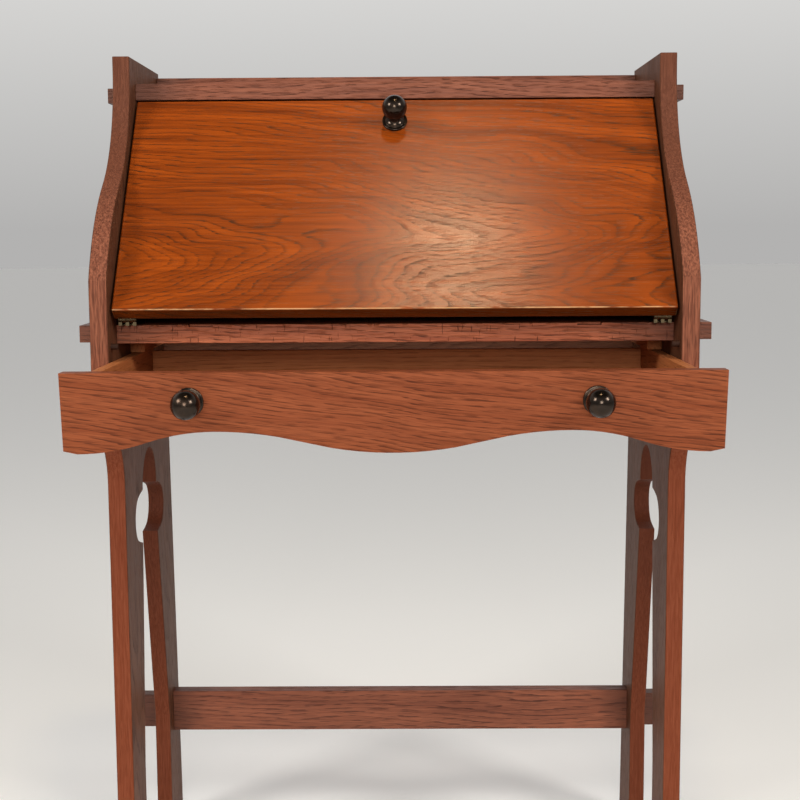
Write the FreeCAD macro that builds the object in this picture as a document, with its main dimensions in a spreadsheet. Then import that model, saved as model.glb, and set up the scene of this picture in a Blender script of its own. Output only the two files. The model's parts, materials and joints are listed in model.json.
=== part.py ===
"""Drop-front writing desk: slab sides, slanted lid on hinges, one drawer with a shaped front.

Frame: millimetres, +X to the right seen from the front, +Y to the back, +Z up.
The origin is on the floor, on the centre plane, halfway between the drawer's
knobs (drawer pulled out as it stands) and the rear feet.
Depths are worked out from the front edge of the slab sides ("case front") and
then shifted as a whole, so a depth of 0 is the case front everywhere below.
"""
import FreeCAD, Part

import math
import os
import re

import Sketcher
from FreeCAD import Placement, Rotation, Vector

doc = FreeCAD.newDocument("Desk")

# ---------------------------------------------------------------- driving sizes
SIZES = {
    # case and slab sides
    "slab_gap": 637, "slab_thickness": 20.5, "slab_over_bed": 315,
    "case_depth": 366, "heel_set_back": 51, "edge_round": 1.2,
    "bed_height": 740, "leg_set_back": 69, "cove_drop": 2.5,
    "belly_over_bed": 52, "belly_angle": 22, "belly_radius": 234,
    "turn_angle": 57, "throat_radius": 168,
    # cut-out that splits each slab into two legs
    "cutout_offset": 5.5, "arch_radius": 46, "arch_drop": 25,
    "oval_drop": 37, "oval_half_length": 96.5, "oval_half_height": 37,
    "oval_end_radius": 28, "oval_rake": 4,
    "slot_drop": 8, "slot_front_reach": 51, "slot_rear_reach": 43,
    "front_foot_width": 76, "rear_foot_width": 90, "slot_bend": 180,
    # boards between the slabs
    "bed_thickness": 21, "bed_set_back": 46, "back_inset": 2,
    "top_thickness": 20, "top_lift": 1.55, "top_set_back": 2,
    "tenon_width": 70, "tenon_shoulder": 0.7, "tenon_projection": 24,
    "tenon_front": 54, "tenon_rear_inset": 24, "top_tenon_inset": 44,
    "fit_gap": 0.1,
    "gain_width": 28, "gain_depth": 12, "gain_drop": 2.6, "gain_centre": 222,
    "back_thickness": 10, "rail_thickness": 18, "back_rail_drop": 94,
    "gallery_rail_height": 22, "gallery_rail_thickness": 12,
    "stretcher_bottom": 148, "stretcher_height": 56, "stretcher_thickness": 21,
    "stretcher_inset": 10, "stretcher_shoulder": 5,
    "stop_rail_drop": 31, "stop_rail_thickness": 34, "lid_rest_gap": 0.4,
    # lid and its hinges
    "lid_slope": 52.2, "lid_length": 310, "lid_thickness": 18, "lid_side_gap": 2.6,
    "lid_foot_depth": 8, "lid_foot_lift": 19.5,
    "axis_lift": 8, "knuckle_radius": 4, "knuckle_length": 3.8, "knuckle_gap": 0.25,
    "pin_radius": 1.5, "pin_clearance": 0.05, "leaf_thickness": 2, "leaf_length": 38,
    "finger_lift": 0.4, "web_thickness": 4, "hinge_inset": 16, "leaf_margin": 12,
    "screw_radius": 1.6, "screw_head_radius": 3.2, "screw_length": 12,
    "screw_pitch": 18, "screw_inset": 10, "screw_clearance": 0.05,
    "stop_radius": 3.5, "stop_depth": 14, "stop_reach": 8, "stop_seat": 10,
    # drawer
    "drawer_open": 127, "front_thickness": 20, "front_drop": 14.5, "front_gap": 0.3,
    "front_height": 83, "front_taper": 2.5, "front_end_lift": 3,
    "wave_end_inset": 17, "wave_step": 140, "wave_rise": 22.5,
    "drawer_side_gap": 0.8, "drawer_side_thickness": 12, "drawer_back_gap": 11,
    "drawer_side_drop": 3, "drawer_side_height": 59.5, "drawer_bottom_lift": 4,
    "drawer_bottom_thickness": 6, "groove_depth": 5, "drawer_back_drop": 4,
    "runner_width": 18, "runner_height": 16, "runner_gap": 0.3,
    "runner_front": 50, "runner_back_gap": 6, "kicker_front": 122,
    "knob_spacing": 414, "knob_drop": 30,
    # turned knobs
    "knob_radius": 15, "knob_centre": 25.5, "knob_neck": 6.5, "knob_flange": 15.2,
    "knob_flange_thickness": 4, "knob_neck_start": 9,
    "bolt_radius": 2, "bolt_head_radius": 4.5, "bolt_head_thickness": 2.2,
    "bolt_bite": 12, "bolt_clearance": 0.1, "lid_knob_along": 274,
    # letter rack inside
    "rack_set_back": 22, "rack_thickness": 8, "rack_height": 160,
    "rack_inner": 101, "rack_outer": 206, "rack_centre_height": 60,
    "box_gap": 0.6, "box_front_thickness": 10, "box_side_thickness": 6,
    "box_length": 118, "box_side_drop": 8, "box_bottom_thickness": 4,
    "box_knob_radius": 7, "box_knob_neck": 3.5, "box_knob_length": 14,
}

sheet = doc.addObject("Spreadsheet::Sheet", "Sizes")
for row, (alias, value) in enumerate(SIZES.items(), start=1):
    sheet.set(f"A{row}", str(value))
    sheet.setAlias(f"A{row}", alias)
doc.recompute()

# ------------------------------------------------- places worked out from sizes
PLACES = {
    "slab_inner": "slab_gap / 2",
    "slab_outer": "slab_inner + slab_thickness",
    "knob_crown": "knob_centre + knob_radius",
    "knob_reach": "front_gap + front_thickness + knob_crown",
    "heel_depth": "case_depth + heel_set_back",
    "shift": "(drawer_open + knob_reach - heel_depth) / 2",
    "drawer_shift": "shift - drawer_open",
    "back_plane": "case_depth - back_inset",
    "zero": "0",
    # heights that follow the writing bed downwards
    "bed_bottom": "bed_height - bed_thickness",
    "front_top": "bed_bottom - front_drop",
    "wave_low": "front_top - front_height",
    "cove_top": "wave_low - cove_drop",
    "cove_bottom": "cove_top - leg_set_back",
    "arch_height": "cove_bottom - arch_drop",
    "oval_height": "arch_height - oval_drop",
    "slot_top": "oval_height - slot_drop",
    "cutout_depth": "(leg_set_back + case_depth) / 2 + cutout_offset",
    "slot_front_top": "cutout_depth - slot_front_reach",
    "slot_rear_top": "cutout_depth + slot_rear_reach",
    "slot_front_foot": "leg_set_back + front_foot_width",
    "slot_rear_foot": "heel_depth - rear_foot_width",
    "stretcher_depth": "case_depth - stretcher_inset",
    # front curve of the slab: belly arc and throat arc
    "slab_height": "bed_height + slab_over_bed",
    "belly_start": "bed_height + belly_over_bed",
    "turn_height": "belly_start + belly_radius * (sin(turn_angle) - sin(belly_angle))",
    "turn_depth": "belly_radius * (cos(belly_angle) - cos(turn_angle))",
    "throat_top": "turn_height + throat_radius * sin(turn_angle)",
    "throat_depth": "turn_depth + throat_radius * (1 - cos(turn_angle))",
    # oval: two end arcs joined to two long arcs, all tangent
    "oval_reach": "oval_half_length - oval_end_radius",
    "oval_rise": "oval_half_height - oval_end_radius",
    "oval_sink": "(oval_reach * oval_reach - oval_rise * oval_rise) / (2 * oval_rise)",
    "oval_radius": "oval_half_height + oval_sink",
    "oval_tangent_x": "oval_radius * oval_reach / (oval_radius - oval_end_radius)",
    "oval_tangent_y": "oval_end_radius * oval_sink / (oval_radius - oval_end_radius)",
    "oval_left_x": "0 - oval_tangent_x",
    "oval_low_y": "0 - oval_tangent_y",
    # drawer front: long waves either side of the middle, short waves at the ends
    "front_half": "slab_outer",
    "front_low_half": "front_half - front_taper",
    "front_end_low": "wave_low + front_end_lift",
    "wave_end": "slab_outer - wave_end_inset",
    "wave_crest": "wave_end - wave_step",
    "wave_top": "wave_low + wave_rise",
    "wave_mid": "wave_low + wave_rise / 2",
    "wave_inner_mid": "wave_crest / 2",
    "wave_outer_mid": "(wave_end + wave_crest) / 2",
    "wave_outer_run": "wave_end - wave_crest",
    "wave_inner_radius": "(wave_crest * wave_crest + wave_rise * wave_rise) / (4 * wave_rise)",
    "wave_outer_radius": "(wave_outer_run * wave_outer_run + wave_rise * wave_rise) / (4 * wave_rise)",
    # lid: its foot is the outer bottom corner; the hinge axis stands axis_lift over
    # the bed and as far from the lid's inner face, so the open lid is flush
    "lid_width": "slab_gap - 2 * lid_side_gap",
    "lid_foot_height": "bed_height + lid_foot_lift",
    "top_front": "lid_foot_depth + lid_length * cos(lid_slope) + top_set_back",
    "top_height": "lid_foot_height + lid_length * sin(lid_slope) + top_lift",
    "lid_in_depth": "lid_foot_depth + lid_thickness * sin(lid_slope)",
    "lid_in_height": "lid_foot_height - lid_thickness * cos(lid_slope)",
    "axis_height": "bed_height + axis_lift",
    "axis_rise": "axis_height - lid_in_height",
    "axis_depth": "lid_in_depth + (axis_lift + axis_rise * cos(lid_slope)) / sin(lid_slope)",
    "axis_in_run": "(axis_depth - lid_foot_depth) * cos(lid_slope)",
    "axis_along": "axis_in_run + (axis_height - lid_foot_height) * sin(lid_slope)",
    "axis_in": "lid_thickness + axis_lift",
    "hinge_centre": "slab_inner - hinge_inset",
    "knuckle_pitch": "knuckle_length + knuckle_gap",
    "barrel_half": "2 * knuckle_pitch + knuckle_length / 2",
    # drawer box
    "drawer_outer": "slab_inner - drawer_side_gap",
    "drawer_inner": "drawer_outer - drawer_side_thickness",
    "drawer_start": "0 - front_gap",
    "drawer_length": "back_plane - rail_thickness - drawer_back_gap",
    "drawer_side_top": "front_top - drawer_side_drop",
    "drawer_side_bottom": "drawer_side_top - drawer_side_height",
    "panel_bottom": "drawer_side_bottom + drawer_bottom_lift",
    "panel_top": "panel_bottom + drawer_bottom_thickness",
    "minus_front_half": "0 - front_half",
    "minus_front_low_half": "0 - front_low_half",
    "minus_wave_end": "0 - wave_end",
    "minus_wave_outer_mid": "0 - wave_outer_mid",
    "minus_wave_crest": "0 - wave_crest",
    "minus_wave_inner_mid": "0 - wave_inner_mid",
    # knob: a cove from the flange to the neck, then a ball
    "bolt_bore": "bolt_radius + bolt_clearance",
    "bolt_bore_end": "bolt_bite + 1",
    "knob_neck_end": "knob_centre - sqrt(knob_radius * knob_radius - knob_neck * knob_neck)",
    "knob_cove_radius": "knob_flange - knob_neck",
    "knob_height": "front_top - knob_drop",
    "runner_top": "drawer_side_bottom - runner_gap",
    "runner_end": "back_plane - rail_thickness - runner_back_gap",
    # letter rack
    "rack_front": "top_front + rack_set_back",
    "rack_back": "back_plane - back_thickness",
    "rack_shelf_height": "bed_height + rack_height",
    "rack_centre_shelf": "bed_height + rack_centre_height",
    "box_half": "rack_inner - box_gap",
    "box_low": "bed_height + box_gap",
    "box_high": "rack_centre_shelf - box_gap",
    "box_back": "rack_front + box_length",
}

places = doc.addObject("App::VarSet", "Places")


def bound(formula):
    """Writes a formula in plain names as one that reads the sheet and the places."""

    def owner(match):
        name = match.group(0)
        if name in SIZES:
            return "Sizes." + name
        if name in PLACES:
            return "Places." + name
        return name

    return re.sub(r"[a-z][a-z_]*", owner, str(formula))


for name, formula in PLACES.items():
    places.addProperty("App::PropertyFloat", name, "Places")
    places.setExpression(name, bound(formula))
doc.recompute()


def number(name):
    """The present value of a size or a place."""
    return getattr(sheet, name) if name in SIZES else getattr(places, name)


# --------------------------------------------------------------------- helpers
parts = []


def place(thing, x, y, z, turn_axis=None, turn=None):
    """Binds an object's position, and its turn about one axis when it has one."""
    if turn_axis:
        thing.Placement = Placement(Vector(), Rotation(Vector(*turn_axis), 30))
        thing.setExpression("Placement.Rotation.Angle", bound(turn))
    for axis, formula in zip("xyz", (x, y, z)):
        thing.setExpression("Placement.Base." + axis, bound(formula))
    return thing


def box(name, low, high, shift="shift"):
    """A board between two corners given as formulas, carried by its shift in depth."""
    board = doc.addObject("Part::Box", name)
    for side, start, end in zip(("Length", "Width", "Height"), low, high):
        board.setExpression(side, bound(f"({end}) - ({start})"))
    return place(board, low[0], f"({low[1]}) + {shift}", low[2])


def rod(name, radius, length, x, y, z, turn_axis=None, turn=None):
    """A cylinder that starts at x, y, z and runs along its turned Z axis."""
    bar = doc.addObject("Part::Cylinder", name)
    bar.setExpression("Radius", bound(radius))
    bar.setExpression("Height", bound(length))
    return place(bar, x, y, z, turn_axis, turn)


def joined(name, pieces):
    """One object made of several pieces, fused where they meet."""
    if len(pieces) == 1:
        return pieces[0]
    fuse = doc.addObject("Part::MultiFuse", name)
    fuse.Shapes = pieces
    return fuse


def cut(name, base, tools):
    """The base with every tool taken away."""
    if not tools:
        return base
    result = doc.addObject("Part::Cut", name)
    result.Base = base
    result.Tool = joined(name + "_tools", tools)
    return result


def part(label, thing):
    """Marks a finished object as a sub-part to be written out."""
    thing.Label = label
    parts.append(thing)
    return thing


def lid_place(thing, x, along, outward, turn_axis=(1, 0, 0), turn="lid_slope"):
    """Places an object on the closed lid: along its slope, and out of its outer face."""
    depth = f"lid_foot_depth + shift + ({along}) * cos(lid_slope) - ({outward}) * sin(lid_slope)"
    height = f"lid_foot_height + ({along}) * sin(lid_slope) + ({outward}) * cos(lid_slope)"
    return place(thing, x, depth, height, turn_axis, turn)


def lid_box(name, x_low, x_high, along, in_low, in_high):
    """A board on the lid between two distances along it and two depths into it."""
    board = doc.addObject("Part::Box", name)
    board.setExpression("Length", bound(f"({x_high}) - ({x_low})"))
    board.setExpression("Width", bound(f"({along[1]}) - ({along[0]})"))
    board.setExpression("Height", bound(f"({in_high}) - ({in_low})"))
    return lid_place(board, x_low, along[0], f"0 - ({in_high})")


def body_plane(body, role):
    """A body's own origin plane, such as its YZ_Plane."""
    return next(item for item in body.Origin.OriginFeatures if item.Role == role)


def sketch_on(body, name, role):
    """A sketch on one of the body's origin planes."""
    sketch = body.newObject("Sketcher::SketchObject", name)
    sketch.AttachmentSupport = [(body_plane(body, role), "")]
    sketch.MapMode = "FlatFace"
    return sketch


def arc_between(start, end, radius, centre_left):
    """The short arc from start to end, with its centre on the left or the right."""
    middle = (start + end) * 0.5
    run = end - start
    reach = math.sqrt(max(radius * radius - (run.Length / 2) ** 2, 0))
    across = Vector(-run.y, run.x, 0).normalize()
    centre = middle + across * (reach if centre_left else -reach)
    first, last = (start, end) if centre_left else (end, start)
    begin = math.atan2(first.y - centre.y, first.x - centre.x)
    finish = math.atan2(last.y - centre.y, last.x - centre.x)
    circle = Part.Circle(centre, Vector(0, 0, 1), radius)
    return Part.ArcOfCircle(circle, begin, finish)


def outline(sketch, corners, arcs):
    """A closed outline through named corners; arcs maps a corner to (radius, centre_left)."""
    points = [Vector(number(across), number(up), 0) for across, up in corners]
    ends = []
    for index, start in enumerate(points):
        end = points[(index + 1) % len(points)]
        if index in arcs:
            radius, centre_left = arcs[index]
            geometry = arc_between(start, end, number(radius), centre_left)
            edge = sketch.addGeometry(geometry, False)
            bend = sketch.addConstraint(Sketcher.Constraint("Radius", edge, geometry.Radius))
            sketch.setExpression(f"Constraints[{bend}]", bound(radius))
            ends.append((edge, 1, 2) if centre_left else (edge, 2, 1))
        else:
            edge = sketch.addGeometry(Part.LineSegment(start, end), False)
            ends.append((edge, 1, 2))
    for index, (across, up) in enumerate(corners):
        edge, head, _ = ends[index]
        previous, _, tail = ends[index - 1]
        sketch.addConstraint(Sketcher.Constraint("Coincident", previous, tail, edge, head))
        for kind, name in (("DistanceX", across), ("DistanceY", up)):
            item = Sketcher.Constraint(kind, -1, 1, edge, head, number(name))
            datum = sketch.addConstraint(item)
            sketch.setExpression(f"Constraints[{datum}]", bound(name))


def pad(body, sketch, length, reverse=False):
    """Pads a sketch by a bound length."""
    feature = body.newObject("PartDesign::Pad", sketch.Name + "_pad")
    feature.Profile = sketch
    feature.setExpression("Length", bound(length))
    feature.Reversed = reverse
    sketch.Visibility = False
    return feature


def pocket(body, sketch):
    """Cuts a sketch through the whole body, both ways."""
    feature = body.newObject("PartDesign::Pocket", sketch.Name + "_pocket")
    feature.Profile = sketch
    feature.Type = "ThroughAll"
    feature.Midplane = True
    return feature


def rounded(body, solid):
    """Rounds the edges around both faces of an upright board that stands across X."""
    doc.recompute()
    edges = [
        f"Edge{index}" for index, edge in enumerate(solid.Shape.Edges, start=1)
        if edge.BoundBox.XLength < 0.01
    ]
    fillet = body.newObject("PartDesign::Fillet", f"{body.Name}_round")
    fillet.Base = (solid, edges)
    fillet.setExpression("Radius", bound("edge_round"))
    body.Tip = fillet


def sides():
    """Two slab sides: curved front edge, cut-out, and mortises for the boards."""
    for hand, start in (("left", "0 - slab_outer"), ("right", "slab_inner")):
        body = doc.addObject("PartDesign::Body", f"slab_{hand}_body")
        profile = sketch_on(body, f"slab_{hand}_profile", "YZ_Plane")
        corners = [
            ("leg_set_back", "zero"), ("leg_set_back", "cove_bottom"), ("zero", "cove_top"),
            ("zero", "belly_start"), ("turn_depth", "turn_height"), ("throat_depth", "throat_top"),
            ("throat_depth", "slab_height"), ("case_depth", "slab_height"),
            ("case_depth", "bed_height"), ("heel_depth", "zero"),
            ("slot_rear_foot", "zero"), ("slot_rear_foot", "slot_bend"),
            ("slot_rear_top", "slot_top"), ("slot_front_top", "slot_top"),
            ("slot_front_foot", "slot_bend"), ("slot_front_foot", "zero"),
        ]
        arcs = {
            1: ("leg_set_back", True),
            3: ("belly_radius", False),
            4: ("throat_radius", True),
        }
        outline(profile, corners, arcs)
        pad(body, profile, "slab_thickness")

        arch = sketch_on(body, f"slab_{hand}_arch", "YZ_Plane")
        circle = Part.Circle(
            Vector(number("cutout_depth"), number("arch_height"), 0), Vector(0, 0, 1), number("arch_radius")
        )
        ring = arch.addGeometry(circle, False)
        for kind, name in (("DistanceX", "cutout_depth"), ("DistanceY", "arch_height")):
            datum = arch.addConstraint(Sketcher.Constraint(kind, -1, 1, ring, 3, number(name)))
            arch.setExpression(f"Constraints[{datum}]", bound(name))
        bend = arch.addConstraint(Sketcher.Constraint("Radius", ring, number("arch_radius")))
        arch.setExpression(f"Constraints[{bend}]", bound("arch_radius"))
        pocket(body, arch)

        oval = sketch_on(body, f"slab_{hand}_oval", "YZ_Plane")
        oval.AttachmentOffset = Placement(Vector(), Rotation(Vector(0, 0, 1), -1))
        oval.setExpression("AttachmentOffset.Base.x", bound("cutout_depth"))
        oval.setExpression("AttachmentOffset.Base.y", bound("oval_height"))
        oval.setExpression("AttachmentOffset.Rotation.Angle", bound("0 - oval_rake"))
        corners = [
            ("oval_left_x", "oval_tangent_y"), ("oval_left_x", "oval_low_y"),
            ("oval_tangent_x", "oval_low_y"), ("oval_tangent_x", "oval_tangent_y"),
        ]
        arcs = {
            0: ("oval_end_radius", True), 1: ("oval_radius", True),
            2: ("oval_end_radius", True), 3: ("oval_radius", True),
        }
        outline(oval, corners, arcs)
        rounded(body, pocket(body, oval))
        place(body, start, "shift", 0)

        low_x = f"({start}) - 1"
        high_x = f"({start}) + slab_thickness + 1"
        tools = []
        for tag, front, back, bottom, top in MORTISES:
            low = (low_x, f"{front} - fit_gap", f"{bottom} - fit_gap")
            high = (high_x, f"{back} + fit_gap", f"{top} + fit_gap")
            tools.append(box(f"slab_{hand}_{tag}_mortise", low, high))
        pin_start = "0 - slab_inner - stop_seat" if hand == "left" else "slab_inner + stop_seat"
        turn = 90 if hand == "left" else -90
        tools.append(
            rod(f"slab_{hand}_stop_hole", "stop_radius + pin_clearance", "stop_seat + 1", pin_start,
                "stop_depth + shift", STOP_HEIGHT, (0, 1, 0), turn)
        )
        part(f"side_slab_{hand}", cut(f"slab_{hand}", body, tools))


# Each tenon: name, front, back, bottom and top, the same on both sides.
TENONS = {
    "bed": [
        ("front", "tenon_front", "tenon_front + tenon_width"),
        ("rear", "back_plane - tenon_rear_inset - tenon_width", "back_plane - tenon_rear_inset"),
    ],
    "top": [
        ("middle", "back_plane - top_tenon_inset - tenon_width", "back_plane - top_tenon_inset"),
    ],
}
TENON_LEVELS = {
    "bed": ("bed_bottom + tenon_shoulder", "bed_height - tenon_shoulder"),
    "top": ("top_height + tenon_shoulder", "top_height + top_thickness - tenon_shoulder"),
}
STRETCHER = (
    "stretcher_depth + tenon_shoulder", "stretcher_depth + stretcher_thickness - tenon_shoulder",
    "stretcher_bottom + stretcher_shoulder", "stretcher_bottom + stretcher_height - stretcher_shoulder",
)
MORTISES = [
    (f"{board}_{tag}", front, back, *TENON_LEVELS[board])
    for board, tenons in TENONS.items()
    for tag, front, back in tenons
]
MORTISES.append(("stretcher", *STRETCHER))
STOP_HEIGHT = "bed_height - lid_thickness - lid_rest_gap - stop_radius"
HANDS = (("left", -1), ("right", 1))


def tenoned(name, core, tenons):
    """A board between the slabs with tenons that run out through both of them."""
    bars = [core]
    reach = "(slab_outer + tenon_projection)"
    for tag, front, back, bottom, top in tenons:
        bars.append(box(f"{name}_{tag}_tenon", (f"0 - {reach}", front, bottom), (reach, back, top)))
    return joined(f"{name}_board", bars)


def screw_tools(name, spots, radius_gap):
    """Countersunk screws, or with a gap the holes they sit in, pointing down at given spots."""
    pieces = []
    for index, (x, depth, top) in enumerate(spots):
        head = doc.addObject("Part::Cone", f"{name}_head{index}")
        head.setExpression("Radius1", bound(f"screw_radius + {radius_gap}"))
        head.setExpression("Radius2", bound(f"screw_head_radius + {radius_gap}"))
        head.setExpression("Height", bound("leaf_thickness"))
        place(head, x, f"{depth} + shift", f"{top} - leaf_thickness")
        shank = rod(f"{name}_shank{index}", f"screw_radius + {radius_gap}", "screw_length", x,
                    f"{depth} + shift", f"{top} - screw_length")
        pieces.append(joined(f"{name}_screw{index}", [head, shank]))
    return pieces


def bed_screw_spots():
    """Two screws through each bed leaf."""
    spots = []
    for _, sign in HANDS:
        for step in (0, 1):
            depth = f"bed_set_back + screw_inset + {step} * screw_pitch"
            spots.append((f"{sign} * hinge_centre", depth, "bed_height + leaf_thickness"))
    return spots


def case_boards():
    """Writing bed, top board, stretcher and the rails and panels at the back."""
    core = box("bed_core", ("0 - slab_inner", "bed_set_back", "bed_bottom"),
               ("slab_inner", "back_plane", "bed_height"))
    tenons = [(tag, front, back, *TENON_LEVELS["bed"]) for tag, front, back in TENONS["bed"]]
    gains = []
    for hand, sign in HANDS:
        middle = f"{sign} * gain_centre"
        low = (f"{middle} - gain_width / 2", "bed_set_back - 1", "bed_height - gain_drop")
        high = (f"{middle} + gain_width / 2", "bed_set_back + gain_depth", "bed_height + 1")
        gains.append(box(f"bed_gain_{hand}", low, high))
    gains += screw_tools("bed_hole", bed_screw_spots(), "screw_clearance")
    part("writing_bed", cut("bed", tenoned("bed", core, tenons), gains))

    core = box("top_core", ("0 - slab_inner", "top_front", "top_height"),
               ("slab_inner", "back_plane - gallery_rail_thickness", "top_height + top_thickness"))
    tenons = [(tag, front, back, *TENON_LEVELS["top"]) for tag, front, back in TENONS["top"]]
    part("top_board", tenoned("top", core, tenons))

    core = box("stretcher_core", ("0 - slab_inner", "stretcher_depth", "stretcher_bottom"),
               ("slab_inner", "stretcher_depth + stretcher_thickness", "stretcher_bottom + stretcher_height"))
    part("rear_stretcher", tenoned("stretcher", core, [("stretcher", *STRETCHER)]))

    part("back_panel", box("back_panel_board",
                           ("0 - slab_inner", "back_plane - back_thickness", "bed_height"),
                           ("slab_inner", "back_plane", "top_height")))
    bay_rail = box("bay_rail_board",
                   ("0 - slab_inner", "back_plane - rail_thickness", "bed_bottom - back_rail_drop"),
                   ("slab_inner", "back_plane", "bed_bottom"))
    part("bay_back_rail", bay_rail)
    part("gallery_rail", box("gallery_rail_board",
                             ("0 - slab_inner", "back_plane - gallery_rail_thickness", "top_height"),
                             ("slab_inner", "back_plane",
                              "top_height + top_thickness + gallery_rail_height")))

    # The stop rail's front is bevelled to the closed lid's inner face.
    rail = box("stop_rail_core", ("0 - slab_inner", "lid_in_depth", "top_height - stop_rail_drop"),
               ("slab_inner", "top_front + stop_rail_thickness", "top_height"))
    bevel = lid_box("stop_rail_bevel", "0 - slab_gap", "slab_gap", ("0", "lid_length * 2"),
                    "0 - lid_length", "lid_thickness + lid_rest_gap")
    part("lid_stop_rail", cut("stop_rail", rail, [bevel]))


def runners():
    """Runners under the drawer's sides and kickers above them, fixed to the slabs."""
    for hand, sign in HANDS:
        inner, outer = "slab_inner - runner_width", "slab_inner"
        low_x, high_x = (inner, outer) if sign > 0 else (f"0 - {outer}", f"0 - ({inner})")
        part(f"drawer_runner_{hand}",
             box(f"runner_{hand}", (low_x, "runner_front", "runner_top - runner_height"),
                 (high_x, "runner_end", "runner_top")))
        part(f"drawer_kicker_{hand}",
             box(f"kicker_{hand}", (low_x, "kicker_front", "drawer_side_top + runner_gap * 2"),
                 (high_x, "runner_end", "bed_bottom")))


def lid():
    """The slanted lid, its knob and the holes for its fastenings."""
    board = lid_box("lid_core", "0 - lid_width / 2", "lid_width / 2", ("0", "lid_length"),
                    "0", "lid_thickness")
    holes = lid_screws("lid_hole", "screw_clearance")
    bore = lid_place(bolt("lid_bolt_hole", "lid_thickness", "bolt_clearance"),
                     0, "lid_knob_along", "0 - lid_thickness")
    holes.append(bore)
    part("lid_board", cut("lid", board, holes))
    part("lid_knob", lid_place(knob("lid_knob_turned"), 0, "lid_knob_along", 0,
                               turn="90 + lid_slope"))
    part("lid_knob_bolt", lid_place(bolt("lid_bolt", "lid_thickness", "0"),
                                    0, "lid_knob_along", "0 - lid_thickness"))


def bolt(name, board, gap):
    """A bolt from behind a board: its head is behind local Z 0 and it bites into the knob."""
    shank = doc.addObject("Part::Cylinder", f"{name}_shank")
    shank.setExpression("Radius", bound(f"bolt_radius + {gap}"))
    shank.setExpression("Height", bound(f"{board} + bolt_bite"))
    head = doc.addObject("Part::Cylinder", f"{name}_head")
    head.setExpression("Radius", bound("bolt_head_radius"))
    head.setExpression("Height", bound("bolt_head_thickness"))
    head.setExpression("Placement.Base.z", bound("0 - bolt_head_thickness"))
    return joined(name, [shank, head])


def knob(name):
    """A turned ball knob on a base disc, about its local Y axis, with a bolt bore in its foot."""
    body = doc.addObject("PartDesign::Body", f"{name}_body")
    profile = sketch_on(body, f"{name}_profile", "XY_Plane")
    corners = [
        ("bolt_bore", "zero"), ("knob_flange", "zero"), ("knob_flange", "knob_flange_thickness"),
        ("knob_neck", "knob_neck_start"), ("knob_neck", "knob_neck_end"),
        ("zero", "knob_crown"), ("zero", "bolt_bore_end"), ("bolt_bore", "bolt_bore_end"),
    ]
    outline(profile, corners, {2: ("knob_cove_radius", False), 4: ("knob_radius", True)})
    turned = body.newObject("PartDesign::Revolution", f"{name}_turned")
    turned.Profile = profile
    turned.ReferenceAxis = (profile, ["V_Axis"])
    turned.Angle = 360
    profile.Visibility = False
    body.Tip = turned
    return body


def lid_screws(name, radius_gap):
    """Two countersunk screws through each lid leaf, driven outwards into the lid."""
    pieces = []
    for hand, sign in HANDS:
        for step in (0, 1):
            tag = f"{name}_{hand}{step}"
            head = doc.addObject("Part::Cone", f"{tag}_head")
            head.setExpression("Radius1", bound(f"screw_head_radius + {radius_gap}"))
            head.setExpression("Radius2", bound(f"screw_radius + {radius_gap}"))
            head.setExpression("Height", bound("leaf_thickness"))
            shank = doc.addObject("Part::Cylinder", f"{tag}_shank")
            shank.setExpression("Radius", bound(f"screw_radius + {radius_gap}"))
            shank.setExpression("Height", bound("screw_length"))
            along = f"leaf_margin + screw_inset / 2 + {step} * screw_pitch"
            screw = joined(f"{tag}_screw", [head, shank])
            pieces.append(lid_place(screw, f"{sign} * hinge_centre", along,
                                    "0 - lid_thickness - leaf_thickness"))
    return pieces


def knuckles(name, middle, members, radius):
    """Hinge knuckles on the axis: the members are counted from -2 to 2 along the barrel."""
    return [
        rod(f"{name}_knuckle{index}", radius, "knuckle_length",
            f"{middle} + {member} * knuckle_pitch - knuckle_length / 2",
            "axis_depth + shift", "axis_height", (0, 1, 0), 90)
        for index, member in enumerate(members)
    ]


def pin(name, middle, radius, half_length):
    """A round bar on the hinge axis, centred on the middle of a hinge."""
    return rod(name, radius, f"{half_length} * 2", f"{middle} - {half_length}",
               "axis_depth + shift", "axis_height", (0, 1, 0), 90)


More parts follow.
